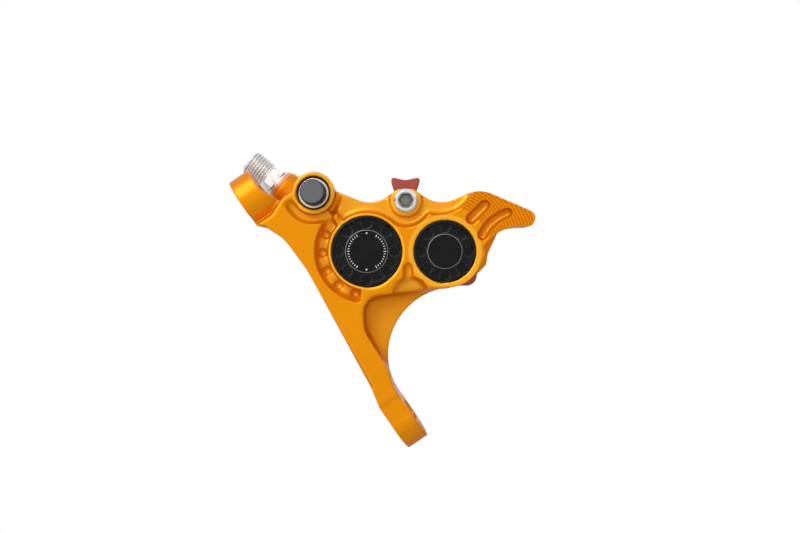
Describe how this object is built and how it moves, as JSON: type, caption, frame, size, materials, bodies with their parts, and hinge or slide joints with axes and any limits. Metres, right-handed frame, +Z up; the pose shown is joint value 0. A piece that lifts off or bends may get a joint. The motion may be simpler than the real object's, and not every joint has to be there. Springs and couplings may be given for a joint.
{
  "type": "bicycle disc brake caliper",
  "caption": "Orange one-piece disc brake caliper with slotted mounting lugs, black bore caps, opposed pistons that close pads on a rotor, a bleed nipple and a hose fitting.",
  "frame": {"origin": "midway between the two bolt slots, on the mounting face of the lugs", "axes": "+X from the mounting face into the caliper along the bolts, +Y inboard, +Z up the bolt line"},
  "size_m": [0.0659, 0.0432, 0.0964],
  "materials": {
    "orange_body": "orange anodised, milled",
    "black_cap": "black anodised, turned",
    "piston_steel": "ground",
    "insulator": "moulded phenolic",
    "seal_rubber": "smooth",
    "plate_red": "powder coated",
    "friction": "sintered",
    "spring_steel": "cold rolled",
    "steel": "turned stainless",
    "copper": "stamped copper",
    "rubber": "moulded"
  },
  "bodies": {
    "caliper": {"caliper_body": "orange_body", "bore_cap_large": "black_cap", "bore_cap_small": "black_cap", "bore_cap_oring_large": "seal_rubber", "bore_cap_oring_small": "seal_rubber", "seal_large_outer": "seal_rubber", "seal_large_inner": "seal_rubber", "seal_small_outer": "seal_rubber", "seal_small_inner": "seal_rubber", "pad_spring": "spring_steel", "pad_pin": "steel", "pad_pin_clip": "spring_steel", "hose_fitting": "steel", "fitting_washer": "copper"},
    "outer_pad": {"pad_plate_outer": "plate_red", "pad_friction_outer": "friction"},
    "inner_pad": {"pad_plate_inner": "plate_red", "pad_friction_inner": "friction"},
    "large_outer_piston": {"piston_large_outer": "piston_steel", "insulator_large_outer": "insulator"},
    "large_inner_piston": {"piston_large_inner": "piston_steel", "insulator_large_inner": "insulator"},
    "small_outer_piston": {"piston_small_outer": "piston_steel", "insulator_small_outer": "insulator"},
    "small_inner_piston": {"piston_small_inner": "piston_steel", "insulator_small_inner": "insulator"},
    "bleed_valve": {"bleed_screw": "steel", "bleed_cap": "rubber"}
  },
  "joints": [
    {"name": "outer_pad_slide", "type": "slide", "parent": "caliper", "child": "outer_pad", "axis": [0, 1, 0], "range_m": [0, 0.0007], "deforming": ["pad_spring"]},
    {"name": "inner_pad_slide", "type": "slide", "parent": "caliper", "child": "inner_pad", "axis": [0, -1, 0], "range_m": [0, 0.0007]},
    {"name": "large_outer_piston_slide", "type": "slide", "parent": "caliper", "child": "large_outer_piston", "axis": [0, 1, 0], "range_m": [0, 0.0007]},
    {"name": "large_inner_piston_slide", "type": "slide", "parent": "caliper", "child": "large_inner_piston", "axis": [0, -1, 0], "range_m": [0, 0.0007]},
    {"name": "small_outer_piston_slide", "type": "slide", "parent": "caliper", "child": "small_outer_piston", "axis": [0, 1, 0], "range_m": [0, 0.0007]},
    {"name": "small_inner_piston_slide", "type": "slide", "parent": "caliper", "child": "small_inner_piston", "axis": [0, -1, 0], "range_m": [0, 0.0007]},
    {"name": "bleed_turn", "type": "hinge", "parent": "caliper", "child": "bleed_valve", "pos_m": [0.01843, -0.0056, 0.02889], "axis": [0, -1, 0], "range_deg": [0, 180]}
  ],
  "couplings": [
    {"joint": "inner_pad_slide", "follows": "outer_pad_slide", "ratio": 1},
    {"joint": "large_outer_piston_slide", "follows": "outer_pad_slide", "ratio": 1},
    {"joint": "large_inner_piston_slide", "follows": "outer_pad_slide", "ratio": 1},
    {"joint": "small_outer_piston_slide", "follows": "outer_pad_slide", "ratio": 1},
    {"joint": "small_inner_piston_slide", "follows": "outer_pad_slide", "ratio": 1}
  ]
}
